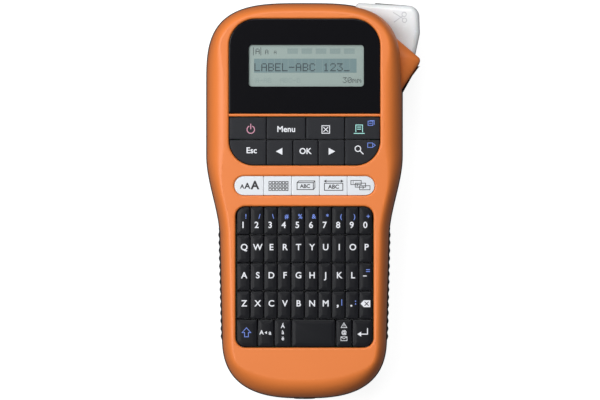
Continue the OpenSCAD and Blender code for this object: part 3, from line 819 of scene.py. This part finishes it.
def lcd_display():
    """The display's face, its row of text cells, the lit text, and the faint idle marks."""
    face = Solid()
    margin, corner = 0.6, (LCD_R,) * 4
    ids = face.stack([rounded(LCD_X, LCD_Y, corner, -margin, 6, LCD_Z - 0.6),
                      rounded(LCD_X, LCD_Y, corner, -margin, 6, LCD_Z)])
    face.cap(ids[0], flip=True)
    face.cap(ids[1])
    lcd_piece("lcd_face", face, LCD)

    band = Solid()
    cell_w, cell_h, pitch, left, low = 3.5, 7.4, 3.58, -26.4, 66.9
    for n in range(15):
        x0 = left + pitch * n
        flat_box(band, x0, low, x0 + cell_w, low + cell_h, LCD_Z + 0.015)
    lcd_piece("lcd_cells", band, LCD_BAND)

    text = Solid()
    dots(text, "LABEL-ABC 123_", left + 0.2, 67.7, 0.6)
    dots(text, "30mm", 20.0, 61.6, 0.42)
    for x, size in ((-25.6, 0.42), (-20.6, 0.34), (-16.0, 0.26)):
        dots(text, "A", x, 76.6, size, gap=0.05)
    for x in (-26.9, -23.0):
        flat_box(text, x, 76.0, x + 0.3, 80.2, LCD_TOP)
    lcd_piece("lcd_text", text, LCD_DOT)

    faint = Solid()
    for n in range(5):
        x0 = -9.0 + 7.4 * n
        flat_box(faint, x0, 76.8, x0 + 5.6, 79.6, LCD_Z + 0.012)
    dots(faint, "A-AB  ABC-D", -25.6, 61.7, 0.36, LCD_Z + 0.02)
    lcd_piece("lcd_idle_marks", faint, LCD_FAINT)


# ---------------- keys

KEY_LOW, KEY_TOP = 52.4, 57.4
STRIP_TOP = KEY_TOP + 0.3


def key_solid(solid, x, y, radii, edge, crown, top):
    """One key cap: straight sides, a rounded rim and a slightly raised middle."""
    steps, shoulder = 6, top - crown - edge
    rings = [rounded(x, y, radii, 0, steps, KEY_LOW), rounded(x, y, radii, 0, steps, shoulder)]
    for a in range(15, 91, 15):
        t = math.radians(a)
        rings.append(rounded(x, y, radii, edge * (1 - math.cos(t)), steps, shoulder + edge * math.sin(t)))
    span = min(min(x[1] - x[0], y[1] - y[0]) / 2 - edge, 2.6)
    for k in range(1, 5):
        u = k / 5
        rings.append(rounded(x, y, radii, edge + span * 0.8 * u, steps,
                             top - crown * (1 - smooth(u) * 0.9) ** 2))
    ids = solid.stack(rings)
    solid.cap(ids[0], flip=True)
    solid.cap(ids[-1])


def key_piece(name, node, cells, mat, slot, edge, crown, top=KEY_TOP):
    solid = Solid()
    for x, y, radii in cells:
        key_solid(solid, x, y, radii, edge, crown, top)
    piece = make_piece(name, solid, mat, body=node)
    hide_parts(node)


NAV_SPLIT = (-WINDOW_X, -19.95, 0.68, 21.0, WINDOW_X)
NAV_LOW_SPLIT = (-WINDOW_X, -19.95, -6.1, 7.16, 21.0, WINDOW_X)
NAV_MID = 31.9
STRIP_SPLIT = (-STRIP_X, -21.4, -6.8, 7.85, 22.3, STRIP_X)
LOW_SPLIT = (-LETTER_X, -24.6, -15.9, -6.8, 16.3, 24.9, LETTER_X)
PITCH_X, PITCH_Y = 7.1, 14.7
ROW_TOP = LETTER_Y[1] - 0.2
NAV_KEYS = ("key_power", "key_menu", "key_clear", "key_print")
NAV_LOW_KEYS = ("key_escape", "key_left", "key_ok", "key_right", "key_preview")
STRIP_KEYS = ("key_size", "key_patterns", "key_wrap", "key_length", "key_numbering")
LETTER_ROWS = ("digit_keys", "top_letter_keys", "middle_letter_keys", "bottom_letter_keys")
LOW_KEYS = ("key_shift", "key_caps", "key_accent", "key_space", "key_symbol", "key_enter")


NAV_LOOK = (NAV, "key_plastic", 0.45, 0.05)
STRIP_LOOK = (STRIP, "white_plastic", 0.25, 0.03, STRIP_TOP)
LETTER_LOOK = (KEY, "key_plastic", 0.6, 0.16)
NAV_FIT, NAV_GAP, NAV_CORNER = 0.12, 0.17, 0.5
STRIP_FIT, STRIP_GAP, STRIP_CORNER = 0.02, 0.06, 0.4
LETTER_GAP, LOW_GAP, LOW_FIT = 0.14, 0.2, 0.5
LETTER_CORNER, PAD_CORNER = 0.9, 4.2     # between keys, and at the pad's four outer corners


def row_y(r):
    return ROW_TOP - PITCH_Y * (r + 1), ROW_TOP - PITCH_Y * r


def row_cells(split, y, gap, corner, ends=None, side_fit=0, low_fit=0, high_fit=0):
    """Each key's rectangle: a gap at each neighbour, and the fit at the opening's walls.

    The outer keys' outer corners take their radii from ends: the low ones and the high ones.
    """
    low_end, high_end = ends or (corner, corner)
    cells = []
    for i, (left, right) in enumerate(zip(split, split[1:])):
        first, last = i == 0, i == len(split) - 2
        cells.append(((left + side_fit * first + gap, right - side_fit * last - gap),
                      (y[0] + low_fit + gap, y[1] - high_fit - gap),
                      (low_end if first else corner, low_end if last else corner,
                       high_end if last else corner, high_end if first else corner)))
    return cells


def key_row(nodes, look, cells):
    for node, one in zip(nodes, cells):
        key_piece(node + "_cap", node, [one], *look)


def all_keys():
    key_row(NAV_KEYS, NAV_LOOK, row_cells(NAV_SPLIT, (NAV_MID, NAV_Y[1]), NAV_GAP, NAV_CORNER,
                                          side_fit=NAV_FIT, high_fit=NAV_FIT))
    key_row(NAV_LOW_KEYS, NAV_LOOK, row_cells(NAV_LOW_SPLIT, (NAV_Y[0], NAV_MID), NAV_GAP, NAV_CORNER,
                                              ends=(NAV_R - 0.4, NAV_CORNER),
                                              side_fit=NAV_FIT, low_fit=NAV_FIT))
    key_row(STRIP_KEYS, STRIP_LOOK, row_cells(STRIP_SPLIT, STRIP_Y, STRIP_GAP, STRIP_CORNER,
                                              ends=(STRIP_R - 0.12,) * 2,
                                              low_fit=STRIP_FIT, high_fit=STRIP_FIT))
    letter_split = [(c - 5) * PITCH_X for c in range(11)]
    for r, node in enumerate(LETTER_ROWS):
        ends = (LETTER_CORNER, PAD_CORNER) if r == 0 else None
        cells = row_cells(letter_split, row_y(r), LETTER_GAP, LETTER_CORNER, ends)
        key_piece(node + "_caps", node, cells, *LETTER_LOOK)
    key_row(LOW_KEYS, LETTER_LOOK, row_cells(LOW_SPLIT, row_y(4), LOW_GAP, LETTER_CORNER,
                                             ends=(PAD_CORNER, LETTER_CORNER), side_fit=LOW_FIT))


# ---------------- cutter lever

LEVER = ((29.2, 102.1, 2.2), (54.6, 97, 6), (54.9, 88.8, 6), (56.4, 77.6, 2.2), (*HINGE, 5))
LEVER_Z = (8.0, 37.2)
PLATE = 3.6


LEVER_R = 3.3                # rounding of the plate's rim
SKIRT_IN = (37.4, SLOT_Y[0] + 5.9)       # the skirt stays to the right of and above this corner


def cutter_lever():
    """White lever: a plate with a well-rounded rim, and a hollow skirt round the outside corner."""
    solid = Solid()
    low, top = LEVER_Z
    under = top - PLATE
    rings = [hull_ring(LEVER, 0.15, under), hull_ring(LEVER, 0, under + 0.2),
             hull_ring(LEVER, 0, top - LEVER_R)]
    for a in range(10, 91, 10):
        t = math.radians(a)
        rings.append(hull_ring(LEVER, LEVER_R * (1 - math.cos(t)), top - LEVER_R + LEVER_R * math.sin(t)))
    ids = solid.stack(rings)
    hole_low = solid.ring(circle(*HINGE, HINGE_R + 0.05, under))
    hole_high = solid.ring(circle(*HINGE, HINGE_R + 0.05, top))
    solid.band(hole_low, hole_high, flip=True)
    fill_flat(solid, ids[-1], [hole_high], top)
    start = len(solid.faces)
    fill_flat(solid, ids[0], [hole_low], under)
    solid.faces[start:] = [f[::-1] for f in solid.faces[start:]]
    first, span, steps = -14.0, 104.0, 90
    skirt = []
    for shrink, z in ((1.9, under + 0.1), (1.9, low), (1.6, low), (0.4, low), (0.0, low + 0.5),
                      (0.0, under + 0.3)):
        skirt.append([(max(x, SKIRT_IN[0]), max(y, SKIRT_IN[1]), z)
                      for x, y, z in hull_ring(LEVER, shrink, z, steps, first, span)])
    ids = solid.stack(skirt, closed=False, flip=True)
    solid.faces.append(tuple(r[0] for r in ids))
    solid.faces.append(tuple(r[-1] for r in ids)[::-1])
    lever = make_piece("lever_cap", solid, WHITE, body="cutter")
    sharpen(lever, 38)
    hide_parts("cutter_lever")


def strokes(solid, lines, width, z, thick):
    """Raised strokes of even width, mitred at each bend. A line that ends where it began is closed.

    Each line is a hair higher than the one before, so that no two of them share a face.
    """
    for k, line in enumerate(lines):
        closed = len(line) > 3 and math.dist(line[0], line[-1]) < 0.001
        points = [Vector(p) for p in (line[:-1] if closed else line)]
        n = len(points)
        left, right = [], []
        for i, here in enumerate(points):
            before = points[i - 1] if closed or i > 0 else None
            after = points[(i + 1) % n] if closed or i < n - 1 else None
            u = (here - before).normalized() if before else (after - here).normalized()
            v = (after - here).normalized() if after else u
            normal = Vector((-(u.y + v.y), u.x + v.x)).normalized()
            reach = min(width / 2 / max(normal.dot(Vector((-u.y, u.x))), 0.35), width)
            cap = Vector((0, 0))
            if not closed:
                cap = -u * width / 2 if i == 0 else v * width / 2 if i == n - 1 else cap
            left.append(here + cap + normal * reach)
            right.append(here + cap - normal * reach)
        low, high = z - 0.02, z + thick + 0.004 * k
        ids = [solid.ring([(p.x, p.y, h) for p in edge]) for edge, h in
               ((left, low), (left, high), (right, high), (right, low))]
        for a, b in zip(ids, ids[1:] + ids[:1]):
            solid.band(a, b, closed)
        if not closed:
            solid.cap([r[0] for r in ids])
            solid.cap([r[-1] for r in ids], flip=True)


def arc(cx, cy, r, start, end, steps):
    angles = [math.radians(start + (end - start) * i / steps) for i in range(steps + 1)]
    return [(cx + r * math.cos(a), cy + r * math.sin(a)) for a in angles]


def frame_line(x0, y0, x1, y1):
    return [(x0, y0), (x1, y0), (x1, y1), (x0, y1), (x0, y0)]


def mark(name, body, lines, width, z, mat, thick=0.05):
    """A legend or symbol drawn from strokes."""
    solid = Solid()
    strokes(solid, lines, width, z, thick)
    make_piece(name, solid, mat, body=body, smooth=False)


def patch(name, body, points, z, flip=False):
    """A flat white shape on a key."""
    solid = Solid()
    solid.cap(solid.ring([(x, y, z) for x, y in points]), flip)
    make_piece(name, solid, INK, body=body, smooth=False)


def scissors():
    """Raised scissors outline on the lever: two blades and two finger rings, in a grey darker than the
    lever's white that paints the shade of the relief.
    """
    lines = [[(47.3, 94.2), (51.5, 97.2)], [(46.9, 99.2), (51.6, 96.2)],
             arc(52.5, 98.2, 1.15, 0, 360, 20), arc(52.7, 95.1, 1.15, 0, 360, 20)]
    mark("lever_scissors", "cutter", lines, 0.45, LEVER_Z[1] - 0.01, RELIEF_PAINTED_SHADE, 0.14)


# ---------------- legends

LEGEND_Z = KEY_TOP + 0.01
STRIP_Z = STRIP_TOP + 0.01


def write(solid, text, x, y, size, z, weight):
    """Adds flat letters from the built-in font, centred on x, y. Size is in millimetres."""
    data = bpy.data.curves.new("letters", "FONT")
    data.body = text
    data.size = size
    data.offset = weight * size
    data.resolution_u = 4
    data.align_x = "CENTER"
    data.align_y = "CENTER"
    obj = bpy.data.objects.new("letters", data)
    put_in_scene(obj)
    mesh = evaluated_mesh(obj)
    start = len(solid.verts)
    solid.verts.extend((x + v.co.x, y + v.co.y, z) for v in mesh.vertices)
    solid.faces.extend(tuple(start + i for i in p.vertices) for p in mesh.polygons)
    bpy.data.objects.remove(obj)
    bpy.data.curves.remove(data)
    bpy.data.meshes.remove(mesh)


def words(name, body, items, mat, z=LEGEND_Z, weight=0.02):
    """A legend in letters: each item is its text, its middle and its size."""
    solid = Solid()
    for text, x, y, size in items:
        write(solid, text, x, y, size, z, weight)
    make_piece(name, solid, mat, body=body, smooth=False)


def menu_legends():
    z = LEGEND_Z
    words("legend_menu", "key_menu", [("Menu", -9.6, 37.3, 4.3)], INK)
    words("legend_escape", "key_escape", [("Esc", -27.7, 26.2, 4.3)], INK)
    words("legend_ok", "key_ok", [("OK", 0.4, 25.8, 4.3)], INK)
    for node, x, s in (("key_left", -13.2, -1), ("key_right", 14.2, 1)):
        patch("legend_" + node[4:], node, [(x - 1.6 * s, 24.0), (x + 1.8 * s, 25.8), (x - 1.6 * s, 27.6)], z,
              flip=s < 0)
    power = [arc(-28.1, 37.2, 1.95, 120, 420, 26), [(-28.1, 37.6), (-28.1, 40.0)]]
    mark("legend_power", "key_power", power, 0.45, z, PINK)
    cross = [frame_line(9.1, 35.3, 13.1, 39.2), [(10.0, 36.2), (12.2, 38.3)], [(10.0, 38.3), (12.2, 36.2)]]
    mark("legend_clear", "key_clear", cross, 0.4, z, INK)
    page = [[(25.9, 35.2), (31.2, 35.2)], [(26.8, 36.0), (26.8, 39.6), (30.3, 39.6), (30.3, 36.0)],
            [(27.7, 38.5), (29.4, 38.5)], [(27.7, 37.4), (29.4, 37.4)]]
    mark("legend_print", "key_print", page, 0.38, z, MINT)
    copies = [frame_line(33.2, 39.4, 35.7, 41.6), [(34.2, 41.9), (36.4, 41.9), (36.4, 39.9)],
              [(33.9, 40.5), (35.0, 40.5)]]
    mark("legend_copies", "key_print", copies, 0.32, z, BLUE)
    lens = [arc(27.9, 27.2, 1.45, 0, 360, 22), [(29.0, 26.1), (30.6, 24.5)]]
    mark("legend_preview", "key_preview", lens, 0.5, z, INK)
    feed = [frame_line(33.0, 27.9, 35.6, 30.2), [(36.0, 28.3), (37.0, 29.0), (36.0, 29.8)]]
    mark("legend_feed", "key_preview", feed, 0.32, z, BLUE)


def strip_mark(name, node, lines, width):
    mark(name, node, lines, width, STRIP_Z, GREY_INK)


def strip_words(name, node, items, weight=0.03):
    words(name, node, items, GREY_INK, STRIP_Z, weight)


def strip_legends():
    y = sum(STRIP_Y) / 2
    strip_words("legend_size_letters", "key_size",
                [("A", -32.6, y - 0.5, 3.0), ("A", -29.9, y - 0.2, 4.2), ("A", -25.9, y + 0.1, 6.0)], 0.035)
    columns, rows, pitch, tile = 6, 3, 1.75, 1.2
    grid = []
    for i in range(columns):
        for j in range(rows):
            x0, y0 = -18.6 + pitch * i, y - 2.5 + pitch * j
            grid.append(frame_line(x0, y0, x0 + tile, y0 + tile))
    strip_mark("legend_patterns", "key_patterns", grid, 0.34)
    left, right = -3.9, 4.6
    block = [[(left, y - 2), (right, y - 2), (right + 0.8, y - 1), (right + 0.8, y + 2.4),
              (right, y + 1.6), (left, y + 1.6), (left, y - 2)],
             [(left, y + 1.6), (left + 0.9, y + 2.5), (right + 0.8, y + 2.5)],
             [(right, y + 1.6), (right, y - 2)]]
    strip_mark("legend_wrap", "key_wrap", block, 0.38)
    strip_words("legend_wrap_letters", "key_wrap", [("ABC", 0.3, y - 0.3, 2.7)])
    left, right = 10.4, 20.0
    ruler = [frame_line(left, y - 2.4, right, y + 1.3), [(left, y + 2.4), (right, y + 2.4)],
             [(left + 0.9, y + 2.9), (left, y + 2.4), (left + 0.9, y + 1.9)],
             [(right - 0.9, y + 2.9), (right, y + 2.4), (right - 0.9, y + 1.9)]]
    strip_mark("legend_length", "key_length", ruler, 0.38)
    strip_words("legend_length_letters", "key_length", [("ABC", 15.2, y - 0.6, 2.9)])
    tags = []
    for i in range(3):
        x0, y0 = 24.2 + 2.3 * i, y + 0.6 - 1.35 * i
        tags.append(frame_line(x0, y0, x0 + 5.4, y0 + 2.1))
    strip_mark("legend_numbering", "key_numbering", tags, 0.34)
    strip_words("legend_numbers", "key_numbering",
                [("1", 25.4, y + 1.6, 1.7), ("2", 27.6, y + 0.3, 1.7), ("3", 30.6, y - 1.05, 1.7)])


def column_x(c):
    return (c - 4.5) * PITCH_X


def letter_row(name, node, text, dx, y, size, mat):
    """One sign for each key of a row, from the left. The shift dx is from the key's middle."""
    words(name, node, [(t, column_x(c) + dx, y, size) for c, t in enumerate(text)], mat, weight=0.018)


def letter_legends():
    z = LEGEND_Z
    letter_row("legend_digits", "digit_keys", "1234567890", -0.2, row_y(0)[0] + 5.0, 4.6, INK)
    letter_row("legend_signs", "digit_keys", "!/\\#%&*()+", 1.3, row_y(0)[0] + 9.5, 3.3, BLUE)
    for r, (node, text) in enumerate(zip(LETTER_ROWS[1:], ("QWERTYUIOP", "ASDFGHJKL", "ZXCVBNM")), 1):
        letter_row("legend_" + node, node, text, 0.4, row_y(r)[0] + 8.1, 4.6, INK)
    y2, y3 = row_y(2)[0] + 8.1, row_y(3)[0] + 8.1
    mark("legend_minus", "middle_letter_keys", [[(30.8, y2 - 0.2), (32.2, y2 - 0.2)]], 0.5, z, INK)
    mark("legend_equals", "middle_letter_keys",
         [[(32.3, y2 + 3.1), (34.0, y2 + 3.1)], [(32.3, y2 + 2.1), (34.0, y2 + 2.1)]], 0.4, z, BLUE)
    words("legend_stops", "bottom_letter_keys",
          [(",", column_x(7) - 0.4, y3 + 0.2, 5.0), (".", column_x(8) - 0.4, y3 + 0.2, 5.0)], INK,
          weight=0.04)
    words("legend_stop_signs", "bottom_letter_keys",
          [("|", column_x(7) + 1.7, y3 + 0.9, 3.4), (":", column_x(8) + 1.8, y3 + 0.9, 4.2)], BLUE)
    x = column_x(9)
    delete = [(x - 2.7, y3), (x - 1.0, y3 - 1.8), (x + 2.4, y3 - 1.8), (x + 2.4, y3 + 1.8),
              (x - 1.0, y3 + 1.8)]
    patch("legend_delete", "bottom_letter_keys", delete, z)
    mark("legend_delete_cross", "bottom_letter_keys",
         [[(x - 0.4, y3 - 0.9), (x + 1.4, y3 + 0.9)], [(x - 0.4, y3 + 0.9), (x + 1.4, y3 - 0.9)]], 0.42,
         z + 0.02, GREY_INK)


def low_legends():
    y = row_y(4)[0] + 7.7
    z = LEGEND_Z
    shift_x, caps_x, accent_x, _, symbol_x, enter_x = ((a + b) / 2 for a, b in zip(LOW_SPLIT, LOW_SPLIT[1:]))
    x = shift_x
    arrow = [(x, y + 2.5), (x + 2.3, y), (x + 1.0, y), (x + 1.0, y - 2.2), (x - 1.0, y - 2.2),
             (x - 1.0, y), (x - 2.3, y), (x, y + 2.5)]
    mark("legend_shift", "key_shift", [arrow], 0.36, z, BLUE)
    x = caps_x
    words("legend_caps", "key_caps", [("A", x - 2.2, y, 3.2), ("a", x + 2.2, y - 0.1, 3.2)], INK)
    patch("legend_caps_arrow", "key_caps", [(x - 0.6, y), (x + 0.6, y - 0.8), (x + 0.6, y + 0.8)], z)
    x = accent_x
    words("legend_accent", "key_accent",
          [("Á", x, y + 3.3, 2.9), ("à", x, y + 0.1, 2.9), ("ë", x, y - 3.1, 2.9)], INK)
    x = symbol_x
    words("legend_at", "key_symbol", [("@", x, y + 0.1, 2.7)], INK)
    signs = [[(x - 1.5, y + 2.6), (x + 1.5, y + 2.6), (x, y + 5.1), (x - 1.5, y + 2.6)],
             [(x, y + 3.3), (x, y + 4.2)],
             frame_line(x - 1.6, y - 4.2, x + 1.6, y - 2.2),
             [(x - 1.6, y - 2.2), (x, y - 3.3), (x + 1.6, y - 2.2)]]
    mark("legend_symbols", "key_symbol", signs, 0.26, z, INK)
    x = enter_x
    hook = [(x + 2.4, y + 2.1), (x + 2.4, y - 0.8), (x - 1.4, y - 0.8)]
    mark("legend_enter", "key_enter", [hook], 0.5, z, INK)
    patch("legend_enter_tip", "key_enter", [(x - 2.9, y - 0.8), (x - 0.9, y - 2.1), (x - 0.9, y + 0.5)], z)


# ---------------- scene

def add_floor():
    """A pale floor that glows by itself, so that it doesn't darken round the object."""
    half, drop = 1.6, 0.2 * MM
    mesh = bpy.data.meshes.new("floor")
    mesh.from_pydata([(-half, -half, 0), (half, -half, 0), (half, half, 0), (-half, half, 0)], [],
                     [(0, 1, 2, 3)])
    mesh.materials.append(FLOOR)
    floor = bpy.data.objects.new("floor", mesh)
    floor.location.z = cad_box[0][2] - drop
    floor.visible_diffuse = False
    floor.visible_glossy = False
    put_in_scene(floor)


add_camera()
add_lights()
paint_cad_nodes()
front_shell()
divider_bar()
wing()
cover_shell()
rear_shell()
rear_deck()
rear_fin()
grip("grip_pad_left", "left_grip", -1)
grip("grip_pad_right", "right_grip", 1)
display_window()
lcd_display()
all_keys()
cutter_lever()
scissors()
menu_legends()
strip_legends()
letter_legends()
low_legends()
add_floor()
